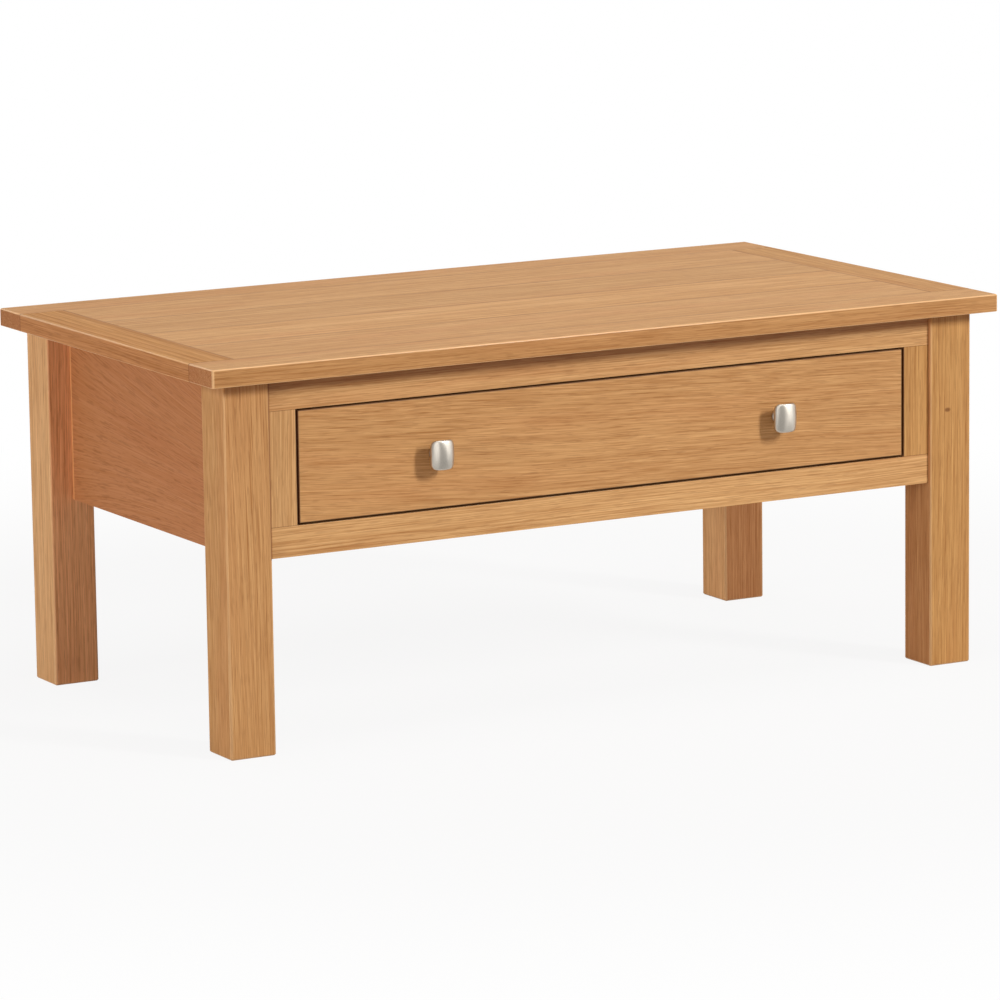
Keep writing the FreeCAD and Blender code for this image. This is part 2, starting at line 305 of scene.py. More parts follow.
class EffectGroup:
    """A shader node group that several finishes share."""

    name = "effect"
    takes: tuple[tuple[str, str], ...] = ()
    gives: tuple[tuple[str, str], ...] = numbers("Mask")

    def __init__(self) -> None:
        """Builds the group's sockets and nodes once."""
        self.tree = bpy.data.node_groups.new(self.name, "ShaderNodeTree")
        for in_out, sockets in (("INPUT", self.takes), ("OUTPUT", self.gives)):
            for label, kind in sockets:
                self.tree.interface.new_socket(label, in_out=in_out, socket_type=f"NodeSocket{kind}")
        self.bench = Bench(self.tree)
        self.inputs = self.bench.add("NodeGroupInput").outputs
        outputs = self.bench.add("NodeGroupOutput").inputs
        for label, socket in self.draw().items():
            self.tree.links.new(socket, outputs[label])

    def draw(self) -> dict[str, Socket]:
        """Adds the group's nodes and returns what the group puts out, by label."""
        raise NotImplementedError

    def place(self, bench: Bench, **values: object) -> bpy.types.NodeOutputs:
        """Puts the group into a material.

        Args:
            bench: The material's bench.
            **values: Each input by its label, with spaces as underscores.

        Returns:
            The outputs of the placed group.
        """
        node = bench.add("ShaderNodeGroup", node_tree=self.tree)
        for label, value in values.items():
            bench.feed(node.inputs[label.replace("_", " ")], value)
        return node.outputs


@dataclass(frozen=True)
class GrainLayer:
    """One layer of streaks along the grain, in waves per metre."""

    along: float
    across: float
    detail: float
    weight: float = 1.0

    def scale(self) -> tuple[float, float, float]:
        """Waves per metre along, across and down into the board."""
        return (self.along, self.across, self.across)


class BoardFrame(EffectGroup):
    """Turns a place on the table into a place in one board: along, across and down into it."""

    name = "board_frame"
    takes = numbers("Along", "Across", "Down", "Tilt", "Sweep")
    gives = (("Place", "Vector"),)

    def draw(self) -> dict[str, Socket]:
        """Turns the grain by the tilt within the board's face, and fans it out by the sweep.

        Returns:
            The place in the board.
        """
        bench, inputs = self.bench, self.inputs
        sine = bench.sum("SINE", inputs["Tilt"])
        cosine = bench.sum("COSINE", inputs["Tilt"])
        along = bench.sum(
            "SUBTRACT",
            bench.sum("MULTIPLY", inputs["Along"], cosine),
            bench.sum("MULTIPLY", inputs["Across"], sine),
        )
        across = bench.sum(
            "ADD",
            bench.sum("MULTIPLY", inputs["Along"], sine),
            bench.sum("MULTIPLY", inputs["Across"], cosine),
        )
        fan = bench.sum("MULTIPLY_ADD", along, inputs["Sweep"], 1.0)
        return {"Place": bench.join(along, bench.sum("MULTIPLY", across, fan), inputs["Down"])}


class OakFigure(EffectGroup):
    """The figure of a sawn board: growth rings round the tree's heart, streaks, pores and rays."""

    name = "oak_figure"
    takes = (
        ("Place", "Vector"),
        *numbers("Heart Across", "Heart Down", "Ring Width", "Taper", "Wander", "Ring Strength", "Seed"),
    )
    gives = numbers("Figure", "Pores", "Rays", "Blush", "Height")

    layers = (
        GrainLayer(along=0.8, across=14.0, detail=2.0, weight=0.28),
        GrainLayer(along=1.8, across=90.0, detail=2.0, weight=0.20),
        GrainLayer(along=4.0, across=520.0, detail=2.0, weight=0.70),
        GrainLayer(along=11.0, across=860.0, detail=1.0, weight=1.40),
    )
    drift = GrainLayer(along=2.2, across=6.0, detail=1.0)
    pore = GrainLayer(along=48.0, across=820.0, detail=1.0)
    ray = GrainLayer(along=45.0, across=420.0, detail=0.0)
    blush = GrainLayer(along=2.5, across=26.0, detail=2.0)
    middle = 0.5
    ring_rise = 0.3
    ring_fade = 2.2
    ring_least = 0.25
    blush_start, blush_end = 0.46, 0.72
    pore_start, pore_end = 0.53, 0.64
    ray_start, ray_end = 0.68, 0.80
    pore_floor = 0.45

    def streaks(self, place: Socket, layer: GrainLayer, number: int) -> Socket:
        """Noise that is long along the grain and fine across it.

        Args:
            place: The place in the board.
            layer: The waves per metre.
            number: Sets layers of one board apart.

        Returns:
            The noise, about the middle of 0 and 1.
        """
        vector = self.bench.vector_sum("MULTIPLY", place, layer.scale())
        seed = self.bench.sum("ADD", self.inputs["Seed"], float(number))
        return self.bench.noise(vector, seed, layer.detail)["Fac"]

    def wandering(self) -> Socket:
        """Lets the grain wander slowly.

        Returns:
            The place that the figure is read at.
        """
        bench, place = self.bench, self.inputs["Place"]
        vector = bench.vector_sum("MULTIPLY", place, self.drift.scale())
        drift = bench.noise(vector, self.inputs["Seed"], self.drift.detail)["Color"]
        centred = bench.vector_sum("SUBTRACT", drift, (self.middle,) * 3)
        return bench.vector_sum("ADD", place, bench.scaled(centred, self.inputs["Wander"]))

    def rings(self, place: Socket) -> Socket:
        """Draws the early wood of each year's ring.

        Args:
            place: The place that the figure is read at.

        Returns:
            The strength of the early wood.
        """
        bench, inputs = self.bench, self.inputs
        along, across, down = bench.split(place)
        aside = bench.sum("SUBTRACT", across, inputs["Heart Across"])
        below = bench.sum("SUBTRACT", down, inputs["Heart Down"])
        squares = bench.sum("ADD", bench.sum("POWER", aside, 2.0), bench.sum("POWER", below, 2.0))
        cone = bench.sum("MULTIPLY", along, inputs["Taper"])
        radius = bench.sum("SUBTRACT", bench.sum("SQRT", squares), cone)
        count = bench.sum("DIVIDE", radius, inputs["Ring Width"])
        within = bench.sum("FRACT", count)
        fading = bench.sum("POWER", bench.inverse(within), self.ring_fade)
        early = bench.sum("MULTIPLY", fading, bench.ramp(within, 0.0, self.ring_rise))
        year = bench.add("ShaderNodeTexWhiteNoise", noise_dimensions="2D")
        bench.feed(year.inputs["Vector"], bench.join(bench.sum("FLOOR", count), inputs["Seed"], 0.0))
        vigour = bench.sum("MAXIMUM", year.outputs["Value"], self.ring_least)
        return bench.sum("MULTIPLY", early, vigour)

    def draw(self) -> dict[str, Socket]:
        """Builds the rings, streaks, pores and rays.

        Returns:
            The figure, its masks and its relief.
        """
        bench, strength = self.bench, self.inputs["Ring Strength"]
        place = self.wandering()
        rings = self.rings(place)
        figure = bench.sum("MULTIPLY_ADD", rings, strength, self.middle)
        for number, layer in enumerate(self.layers, start=1):
            streak = bench.sum("SUBTRACT", self.streaks(place, layer, number), self.middle)
            figure = bench.sum("MULTIPLY_ADD", streak, layer.weight, figure)
        figure = bench.sum("MULTIPLY_ADD", strength, -self.ring_least, figure)

        specks, flecks, patches = (
            self.streaks(place, layer, number)
            for number, layer in enumerate((self.pore, self.ray, self.blush), start=len(self.layers) + 1)
        )
        open_grain = bench.sum("MULTIPLY_ADD", rings, 1.0 - self.pore_floor, self.pore_floor)
        pores = bench.sum("MULTIPLY", bench.ramp(specks, self.pore_start, self.pore_end), open_grain)
        return {
            "Figure": figure,
            "Pores": pores,
            "Rays": bench.ramp(flecks, self.ray_start, self.ray_end),
            "Blush": bench.ramp(patches, self.blush_start, self.blush_end),
            "Height": bench.sum("SUBTRACT", bench.sum("MULTIPLY", figure, -self.middle), pores),
        }


class FaceMask(EffectGroup):
    """Mask of the faces that look along one direction, either way."""

    name = "face_mask"
    takes = numbers("Facing")
    start, end = 0.6, 0.9

    def draw(self) -> dict[str, Socket]:
        """Shows where the face looks that way."""
        facing = self.bench.sum("ABSOLUTE", self.inputs["Facing"])
        return {"Mask": self.bench.ramp(facing, self.start, self.end)}


class Arris(EffectGroup):
    """Mask of the rounded edges, which get a clear coat and a painted highlight."""

    name = "arris"
    takes = (("Normal", "Vector"),)
    start, end = 0.005, 0.07

    def draw(self) -> dict[str, Socket]:
        """Shows where the surface looks along none of the table's directions.

        Returns:
            The mask.
        """
        bench = self.bench
        across, deep, up = (bench.sum("ABSOLUTE", part) for part in bench.split(self.inputs["Normal"]))
        most = bench.sum("MAXIMUM", bench.sum("MAXIMUM", across, deep), up)
        return {"Mask": bench.ramp(bench.inverse(most), self.start, self.end)}


class PinKnot(EffectGroup):
    """Mask of one small knot, stretched a little along the grain."""

    name = "pin_knot"
    takes = (("Place", "Vector"), ("Middle", "Vector"), *numbers("Radius"))
    squeeze = (1.0, 0.62, 0.2)
    core_share = 0.35

    def draw(self) -> dict[str, Socket]:
        """Measures how far the place is from the knot.

        Returns:
            The mask.
        """
        bench, inputs = self.bench, self.inputs
        apart = bench.vector_sum("SUBTRACT", inputs["Place"], inputs["Middle"])
        far = bench.length(bench.vector_sum("MULTIPLY", apart, self.squeeze))
        core = bench.sum("MULTIPLY", inputs["Radius"], self.core_share)
        return {"Mask": bench.inverse(bench.ramp(far, core, inputs["Radius"]))}


class LineBand(EffectGroup):
    """Mask of a band along one plane, for the seams where boards meet and for strips of painted shade and
    painted highlight.
    """

    name = "seam"
    takes = numbers("Coordinate", "Plane", "Width")
    core_share = 0.4

    def draw(self) -> dict[str, Socket]:
        """Shows where the place is close to the line's plane.

        Returns:
            The mask.
        """
        bench, inputs = self.bench, self.inputs
        apart = bench.sum("ABSOLUTE", bench.sum("SUBTRACT", inputs["Coordinate"], inputs["Plane"]))
        core = bench.sum("MULTIPLY", inputs["Width"], self.core_share)
        return {"Mask": bench.inverse(bench.ramp(apart, core, inputs["Width"]))}


@dataclass
class Effects:
    """The shared node groups, each built once."""

    board_frame: BoardFrame = field(default_factory=BoardFrame)
    oak_figure: OakFigure = field(default_factory=OakFigure)
    face_mask: FaceMask = field(default_factory=FaceMask)
    arris: Arris = field(default_factory=Arris)
    pin_knot: PinKnot = field(default_factory=PinKnot)
    seam: LineBand = field(default_factory=LineBand)


@dataclass(frozen=True)
class LineLook:
    """How a line on a board looks."""

    width: float = 0.9 * MM
    strength: float = 0.6
    colour: Colour = paint(104, 58, 30)
    shown: Faces = Faces.ALL


class Mark(Enum):
    """The kinds of line on the boards: dark seams, painted shade, darker tone at the crossbands' edges,
    and a lighter strip that is lipping and painted highlight.
    """

    SEAM = LineLook()
    LEG_SEAM = LineLook(width=1.0 * MM)
    FIELD_SEAM = LineLook(width=1.4 * MM)
    # A seam widened into painted shade in the corner where the left leg stands proud of the frame.
    LEFT_RAIL_SEAM = LineLook(width=3.4 * MM)
    # Painted shade along the drawer's gap, on the faces next to it.
    DRAWER_GAP = LineLook(1.3 * MM, 0.95, paint(44, 12, 6), Faces.FRONT)
    # Painted shade on the edges inside the drawer's gap, near the front.
    GAP_WALL = LineLook(6.0 * MM, 0.7, paint(64, 24, 12), Faces.EDGES)
    LEG_SHADE = LineLook(16.0 * MM, 0.35, paint(112, 58, 30))
    RAIL_SHADE = LineLook(19.0 * MM, 0.5, paint(104, 34, 16))
    LEFT_BAND_EDGE = LineLook(10.0 * MM, 0.35, paint(150, 98, 52))
    RIGHT_BAND_EDGE = LineLook(10.0 * MM, 0.12, paint(150, 98, 52))
    # A lighter strip at the panels' ends: lipping, and a painted highlight on the arris.
    LIPPING = LineLook(4.0 * MM, 0.8, paint(222, 160, 104))


@dataclass(frozen=True)
class Line:
    """A fine line on a board, along one plane of the table and above a height."""

    axis: Axis
    plane: float
    mark: Mark = Mark.SEAM
    above: float = 0.0


def pair(axis: Axis, plane: float, mark: Mark = Mark.SEAM) -> tuple[Line, Line]:
    """Makes one line on each side of the table's middle."""
    return (Line(axis, -plane, mark), Line(axis, plane, mark))


@dataclass(frozen=True)
class Cut:
    """How one board lies in its tree and on the table, in metres and radians."""

    grain: Axis
    face: Axis
    heart_across: float = 0.10
    heart_down: float = -0.25
    ring_width: float = 0.006
    taper: float = 0.004
    wander: float = 0.010
    tilt: float = 0.0
    sweep: float = 0.0
    seed: float = 0.0
    # The tint and the edge tint give the wood's tone, and on some legs painted light and painted shade.
    tint: Tint = Tint.PLAIN
    edge: Tint = Tint.PLAIN
    knot: Place | None = None
    ring_strength: float = 0.12
    # How strongly the rounded edges get their clear coat and their painted highlight.
    polish_and_highlight: float = 0.5
    eased: bool = True
    lines: tuple[Line, ...] = ()

    def across(self) -> Axis:
        """The direction across the grain, in the board's face."""
        return next(axis for axis in Axis if axis not in (self.grain, self.face))


@dataclass
class BoardNodes:
    """What the steps of one board's material share."""

    bench: Bench
    cut: Cut
    effects: Effects
    place: Socket
    spots: tuple[Socket, Socket, Socket]
    normal: Socket
    looks: tuple[Socket, Socket, Socket]

    @classmethod
    def start(cls, bench: Bench, node: str, cut: Cut, effects: Effects) -> "BoardNodes":
        """Finds the place in the board.

        Args:
            bench: The material's bench.
            node: The board's name.
            cut: How the board lies in its tree.
            effects: The shared node groups.

        Returns:
            The board's nodes so far.
        """
        low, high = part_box(node)
        where = bench.add("ShaderNodeTexCoord").outputs
        parts = bench.split(bench.vector_sum("SUBTRACT", where["Object"], tuple((low + high) / 2)))
        place = effects.board_frame.place(
            bench,
            Along=parts[cut.grain.value],
            Across=parts[cut.across().value],
            Down=parts[cut.face.value],
            Tilt=cut.tilt,
            Sweep=cut.sweep,
        )["Place"]
        spots, looks = bench.split(where["Object"]), bench.split(where["Normal"])
        return cls(bench, cut, effects, place, spots, where["Normal"], looks)

    def figure(self) -> bpy.types.NodeOutputs:
        """Draws the board's figure.

        Returns:
            The figure group's outputs.
        """
        return self.effects.oak_figure.place(
            self.bench,
            Place=self.place,
            Heart_Across=self.cut.heart_across,
            Heart_Down=self.cut.heart_down,
            Ring_Width=self.cut.ring_width,
            Taper=self.cut.taper,
            Wander=self.cut.wander,
            Ring_Strength=self.cut.ring_strength,
            Seed=self.cut.seed,
        )

    def line_mask(self, line: Line) -> Socket:
        """Shows where a line runs.

        Args:
            line: The line.

        Returns:
            The mask.
        """
        bench, look = self.bench, line.mark.value
        spot = self.spots[line.axis.value]
        mask = self.effects.seam.place(bench, Coordinate=spot, Plane=line.plane, Width=look.width)["Mask"]
        if line.above:
            height = self.spots[Axis.HEIGHT.value]
            mask = bench.sum("MULTIPLY", mask, bench.ramp(height, line.above - look.width, line.above))
        if look.shown is not Faces.ALL:
            forward = bench.sum("MULTIPLY", self.looks[Axis.DEPTH.value], -1.0)
            facing = bench.sum("MAXIMUM", forward, 0.0)
            front = self.effects.face_mask.place(bench, Facing=facing)["Mask"]
            shown = front if look.shown is Faces.FRONT else bench.inverse(front)
            mask = bench.sum("MULTIPLY", mask, shown)
        return mask

    def arris_mask(self) -> Socket:
        """Shows the rounded edges."""
        return self.effects.arris.place(self.bench, Normal=self.normal)["Mask"]


@dataclass(frozen=True)
class WoodFinish:
    """A clear-coated wood, from its pale wood to its deep wood."""

    name: str
    slot: str
    pale: Colour
    deep: Colour
    pore: Colour
    end_tint: Colour
    blush: Colour
    pore_strength: float = 0.40
    ray_strength: float = 0.20
    blush_strength: float = 0.22
    roughness: float = 0.55
    roughness_spread: float = 0.16
    specular: float = 0.08
    # A painted highlight on the rounded edges, laid over the wood's colour.
    arris_highlight_colour: Colour = paint(250, 206, 152)
    arris_highlight_strength: float = 0.6
    arris_coat: float = 0.4
    coat_roughness: float = 0.20
    bump: float = 0.12
    bump_depth: float = 0.3 * MM
    knot_radius: float = 3.4 * MM
    knot_strength: float = 0.75

    def material(self, node: str, cut: Cut, effects: Effects) -> bpy.types.Material:
        """Makes the material of one board.

        Args:
            node: The board's name.
            cut: How the board lies in its tree.
            effects: The shared node groups.

        Returns:
            The board's material.
        """
        made = bpy.data.materials.new(f"{self.name}.{node}")
        made.use_nodes = True
        bench = Bench(made.node_tree)
        inputs = made.node_tree.nodes["Principled BSDF"].inputs
        board = BoardNodes.start(bench, node, cut, effects)
        oak = board.figure()
        colour = self.faced(board, self.figured(board, oak))
        polish_and_highlight: object = cut.polish_and_highlight
        # Lines lay seams, painted shade and painted highlight over the colour; the rounded edges' coat and
        # painted highlight stop at them.
        for line in cut.lines:
            mask, look = board.line_mask(line), line.mark.value
            colour = bench.cover(mask, look.strength, colour, look.colour)
            polish_and_highlight = bench.sum("MULTIPLY", polish_and_highlight, bench.inverse(mask))
        # The rounded edges get a clear coat and a painted highlight: a lighter colour laid over them.
        arris_polish_and_highlight = bench.sum("MULTIPLY", board.arris_mask(), polish_and_highlight)
        colour = bench.cover(arris_polish_and_highlight, self.arris_highlight_strength, colour, self.arris_highlight_colour)
        bench.feed(inputs["Base Color"], colour)
        bench.feed(inputs["Roughness"], bench.spread(oak["Figure"], self.roughness, self.roughness_spread))
        bench.feed(inputs["Normal"], bench.bump(oak["Height"], self.bump, self.bump_depth))
        bench.feed(inputs["Coat Weight"], bench.sum("MULTIPLY", arris_polish_and_highlight, self.arris_coat))
        inputs["Coat Roughness"].default_value = self.coat_roughness
        inputs["Specular IOR Level"].default_value = self.specular
        return made

    def figured(self, board: BoardNodes, oak: bpy.types.NodeOutputs) -> Socket:
        """Colours the figure of the wood.

        Args:
            board: The board's nodes.
            oak: The figure group's outputs.

        Returns:
            The colour.
        """
        bench, cut = board.bench, board.cut
        pale, deep, rosy = (cut.tint.over(wood) for wood in (self.pale, self.deep, self.blush))
        colour = bench.blend(oak["Figure"], pale, deep)
        colour = bench.cover(oak["Blush"], self.blush_strength, colour, rosy)
        colour = bench.cover(oak["Rays"], self.ray_strength, colour, deep)
        colour = bench.cover(oak["Pores"], self.pore_strength, colour, self.pore)
        if cut.knot:
            pin_knot = board.effects.pin_knot
            knot = pin_knot.place(bench, Place=board.place, Middle=cut.knot, Radius=self.knot_radius)
            colour = bench.cover(knot["Mask"], self.knot_strength, colour, self.pore)
        return colour

    def faced(self, board: BoardNodes, colour: Socket) -> Socket:
        """Tints the end grain and the edges of the board; on some legs the edge tint is painted light or
        painted shade.

        Args:
            board: The board's nodes.
            colour: The colour of the figure.

        Returns:
            The tinted colour.
        """
        bench, cut = board.bench, board.cut
        for axis, tint in ((cut.grain, self.end_tint), (cut.across(), cut.edge.value)):
            face = board.effects.face_mask.place(bench, Facing=board.looks[axis.value])["Mask"]
            colour = bench.blend(face, colour, bench.blend(1.0, colour, tint, "MULTIPLY"))
        return colour


@dataclass(frozen=True)
class MetalFinish:
    """A brushed metal with fine lines along one direction."""

    name: str
    slot: str
    colour: Colour
    shade: Colour
    roughness: float
    roughness_spread: float = 0.14
    lines: tuple[float, float, float] = (2600.0, 2600.0, 120.0)
    line_detail: float = 2.0
    bump: float = 0.04
    bump_depth: float = 0.05 * MM

    def material(self) -> bpy.types.Material:
        """Makes the metal's material.

        Returns:
            The material.
        """
        made = bpy.data.materials.new(self.name)
        made.use_nodes = True
        bench = Bench(made.node_tree)
        inputs = made.node_tree.nodes["Principled BSDF"].inputs
        where = bench.add("ShaderNodeTexCoord").outputs["Object"]
        vector = bench.vector_sum("MULTIPLY", where, self.lines)
        brushed = bench.noise(vector, 0.0, self.line_detail)["Fac"]
        bench.feed(inputs["Base Color"], bench.blend(brushed, self.colour, self.shade))
        bench.feed(inputs["Roughness"], bench.spread(brushed, self.roughness, self.roughness_spread))
        bench.feed(inputs["Normal"], bench.bump(brushed, self.bump, self.bump_depth))
        inputs["Metallic"].default_value = 1.0
        return made


OAK = WoodFinish(
    name="honey_oak",
    slot="oak",
    pale=paint(222, 178, 123),
    deep=paint(168, 117, 67),
    pore=paint(112, 66, 34),
    end_tint=(0.70, 0.54, 0.49),
    blush=paint(196, 134, 86),
)
VENEER = WoodFinish(
    name="oak_veneer",
    slot="oak_veneer",
    pale=paint(189, 130, 85),
    deep=paint(168, 109, 67),
    pore=paint(104, 56, 30),
    end_tint=(0.8, 0.7, 0.64),
    blush=paint(172, 104, 64),
    pore_strength=0.5,
    arris_highlight_colour=paint(214, 158, 108),
)
PALE_WOOD = WoodFinish(
    name="pale_wood",
    slot="inner_wood",
    pale=paint(228, 198, 154),
    deep=paint(196, 156, 108),
    pore=paint(150, 108, 66),
    end_tint=(0.8, 0.72, 0.64),
    blush=paint(214, 170, 124),
    roughness=0.58,
)
PLYWOOD = WoodFinish(
    name="birch_ply",
    slot="plywood",
    pale=paint(232, 206, 164),
    deep=paint(208, 172, 124),
    pore=paint(176, 132, 86),
    end_tint=(0.74, 0.64, 0.54),
    blush=paint(222, 186, 140),
    roughness=0.6,
)
NICKEL = MetalFinish(
    name="satin_nickel",
    slot="satin_nickel",
    colour=paint(216, 208, 196),
    shade=paint(178, 170, 158),
    roughness=0.30,
)
STEEL = MetalFinish(
    name="screw_steel",
    slot="screw_steel",
    colour=paint(190, 190, 190),
    shade=paint(150, 150, 152),
    roughness=0.36,
)

Boards = dict[str, tuple[WoodFinish, Cut]]

LONG_TOP = Cut(Axis.LENGTH, Axis.HEIGHT, polish_and_highlight=0.85)
CROSS_TOP = Cut(Axis.DEPTH, Axis.HEIGHT, polish_and_highlight=0.7)
POST = Cut(Axis.HEIGHT, Axis.DEPTH)
FRONT = Cut(Axis.LENGTH, Axis.DEPTH)
SIDE = Cut(Axis.DEPTH, Axis.LENGTH)


@dataclass(frozen=True)
class Joints:
    """Where the table's boards meet, in metres from its middle or from the floor."""

    strip: float = 0.218
    crossband: float = 0.446
    leg: float = 0.4225
    panel_end: float = 0.1985
    frame_face: float = -0.248
    under_top: float = 0.410
    opening_top: float = 0.375
    opening_foot: float = 0.248
    opening_end: float = 0.3885
    drawer_top: float = 0.373
    drawer_foot: float = 0.250
    drawer_end: float = 0.3865
    frame_foot: float = 0.2145

    def gap_wall_shade(self) -> Line:
        """Painted shade on the edges inside the gap round the drawer, just behind the frame's face."""
        return Line(Axis.DEPTH, self.frame_face, Mark.GAP_WALL)


@dataclass
class Woodwork:
    """A sub-assembly of boards, each with its own cut."""

    joints: Joints = field(default_factory=Joints)
    eased: float = 0.25 * MM
    eased_steps: int = 2
    eased_angle: float = math.radians(50)
    weld: float = 0.002 * MM

    def boards(self) -> Boards:
        """Lists the finish and the cut of each board, by its node's name."""
        raise NotImplementedError

    def dress(self, effects: Effects) -> None:
        """Gives each board its material and eases its sharp edges.

        Args:
            effects: The shared node groups.
        """
        for node, (finish, cut) in self.boards().items():
            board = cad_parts[node]
            board.data.materials.clear()
            board.data.materials.append(finish.material(node, cut, effects))
            if cut.eased:
                self.ease(board)
            LOG.info("%s: %s, grain along %s", node, finish.name, cut.grain.name.lower())

    def ease(self, board: bpy.types.Object) -> None:
        """Takes the sharpness off the edges, as sanding does.

        Args:
            board: The board's object.
        """
        weld = board.modifiers.new("weld", "WELD")
        weld.merge_threshold = self.weld
        bevel = board.modifiers.new("eased_edges", "BEVEL")
        bevel.width = self.eased
        bevel.segments = self.eased_steps
        bevel.limit_method = "ANGLE"
        bevel.angle_limit = self.eased_angle


@dataclass
class TableTop(Woodwork):
    """The top: two long strips, two crossbands between them and the field boards."""

    field_cuts: tuple[Cut, ...] = (
        replace(LONG_TOP, seed=21.0, heart_across=0.20, heart_down=-0.16),
        replace(LONG_TOP, seed=24.5, heart_across=-0.18, heart_down=-0.14, tint=Tint.LIGHT),
        replace(LONG_TOP, seed=28.2, heart_across=0.10, heart_down=-0.18, tint=Tint.DIM),
        replace(LONG_TOP, seed=33.8, heart_across=-0.22, heart_down=-0.20),
    )
    strip_cut: Cut = replace(LONG_TOP, edge=Tint.SHADED)
    band_cut: Cut = replace(CROSS_TOP, edge=Tint.RUSSET, heart_down=-0.05, ring_width=0.008, wander=0.014)

    def boards(self) -> Boards:
        """Lists the boards of the top.

        Returns:
            The finish and the cut of each board.
        """
        strip, band = self.joints.strip, self.joints.crossband
        long_seams, band_seams = pair(Axis.DEPTH, strip), pair(Axis.LENGTH, band)
        left_edge = Line(Axis.LENGTH, -band, Mark.LEFT_BAND_EDGE)
        right_edge = Line(Axis.LENGTH, band, Mark.RIGHT_BAND_EDGE)
        strip_cut = replace(self.strip_cut, lines=long_seams)
        cuts = {
            "top_front_strip": replace(strip_cut, seed=3.1, heart_across=0.16, heart_down=-0.10),
            "top_back_strip": replace(strip_cut, seed=7.7, heart_across=-0.14, heart_down=-0.12),
            "top_left_crossband": replace(
                self.band_cut,
                seed=11.3,
                tint=Tint.AMBER,
                heart_across=0.05,
                ring_strength=0.8,
                lines=(*long_seams, left_edge, *band_seams),
            ),
            "top_right_crossband": replace(
                self.band_cut,
                seed=14.9,
                tint=Tint.TAWNY,
                heart_across=-0.06,
                ring_strength=0.6,
                lines=(*long_seams, right_edge, *band_seams),
            ),
        }
        pitch = 2 * strip / len(self.field_cuts)
        for number, cut in enumerate(self.field_cuts):
            front, back = number * pitch - strip, (number + 1) * pitch - strip
            seams = [Line(Axis.DEPTH, plane, Mark.FIELD_SEAM) for plane in (front, back)]
            cuts[f"top_field_board_{number + 1}"] = replace(cut, lines=(*seams, *band_seams))
        return {node: (OAK, cut) for node, cut in cuts.items()}


@dataclass
class Legs(Woodwork):
    """The four legs, cut so that straight grain shows on all their sides."""

    cut: Cut = replace(POST, heart_across=0.09, heart_down=0.10, ring_width=0.005)
    seam_inset: float = 1.0 * MM
    knot: Place = (0.093, -0.005, -0.027)

    def boards(self) -> Boards:
        """Lists the legs.

        Returns:
            The finish and the cut of each leg.
        """
        joints = self.joints
        shade = Line(Axis.HEIGHT, joints.under_top, Mark.LEG_SHADE)
        seam = Line(Axis.LENGTH, -joints.leg - self.seam_inset, Mark.LEG_SEAM, above=joints.frame_foot)
        cut = self.cut
        cuts = {
            "front_left_leg": replace(cut, seed=41.0, tilt=0.02, tint=Tint.RUDDY, lines=(seam, shade)),
            "front_right_leg": replace(
                cut,
                seed=44.6,
                tilt=-0.01,
                tint=Tint.TAWNY,
                # Edge tint: painted shade on the leg's sides.
                edge=Tint.UMBER,
                knot=self.knot,
                lines=(shade,),
            ),
            # Painted light on the back left leg, less on its sides.
            "back_left_leg": replace(cut, seed=48.3, tint=Tint.ROSY, edge=Tint.PALER),
            # Painted shade on the back right leg's front and back, painted light on its sides.
            "back_right_leg": replace(cut, seed=52.9, tint=Tint.SOMBRE, edge=Tint.SILVERED),
        }
        return {node: (OAK, cut) for node, cut in cuts.items()}


@dataclass
class FrontFrame(Woodwork):
    """The frame round the drawer: two rails between the legs and two stiles between the rails."""

    def boards(self) -> Boards:
        """Lists the rails and stiles.

        Returns:
            The finish and the cut of each board.
        """
        joints = self.joints
        wall_shade = joints.gap_wall_shade()
        shade = Line(Axis.HEIGHT, joints.under_top, Mark.RAIL_SHADE)
        # The left seam is widened into painted shade in the corner by the leg.
        leg_seams_and_shade = (
            Line(Axis.LENGTH, -joints.leg, Mark.LEFT_RAIL_SEAM),
            Line(Axis.LENGTH, joints.leg),
        )
        # Seams, with painted shade along the drawer's gap and inside it.
        stile_seams_and_shade = (
            Line(Axis.HEIGHT, joints.opening_foot),
            Line(Axis.HEIGHT, joints.opening_top),
            *leg_seams_and_shade,
            *pair(Axis.LENGTH, joints.opening_end, Mark.DRAWER_GAP),
            wall_shade,
        )
        rail = replace(FRONT, lines=(*leg_seams_and_shade, wall_shade))
        top_rail = replace(FRONT, lines=(*leg_seams_and_shade, shade, wall_shade))
        stile = replace(POST, heart_down=0.08, lines=stile_seams_and_shade)
        cuts = {
            "front_top_rail": replace(top_rail, seed=61.2, heart_across=0.12, heart_down=0.10),
            "front_bottom_rail": replace(
                rail, seed=64.8, heart_across=-0.11, heart_down=0.12, tint=Tint.LIGHT
            ),
            "front_left_stile": replace(stile, seed=67.1, heart_across=0.12),
            "front_right_stile": replace(stile, seed=69.4, heart_across=-0.12, tint=Tint.TAWNY),
        }
        return {node: (OAK, cut) for node, cut in cuts.items()}


@dataclass
class Panels(Woodwork):
    """The side panels with a lighter strip at each end, which is lipping and painted highlight, and the
    back panel.
    """

    side_cut: Cut = replace(SIDE, taper=0.05, wander=0.008)
    back_cut: Cut = replace(FRONT, seed=88.8, heart_down=-0.14, taper=0.03, wander=0.03)

    def boards(self) -> Boards:
        """Lists the panels.

        Returns:
            The finish and the cut of each panel.
        """
        side = replace(self.side_cut, lines=pair(Axis.DEPTH, self.joints.panel_end, Mark.LIPPING))
        cuts = {
            "left_side_panel": replace(side, seed=81.5, tilt=-0.12, sweep=-1.7),
            "right_side_panel": replace(side, seed=84.1, tilt=0.10, sweep=1.5),
            "back_panel": self.back_cut,
        }
        return {node: (VENEER, cut) for node, cut in cuts.items()}


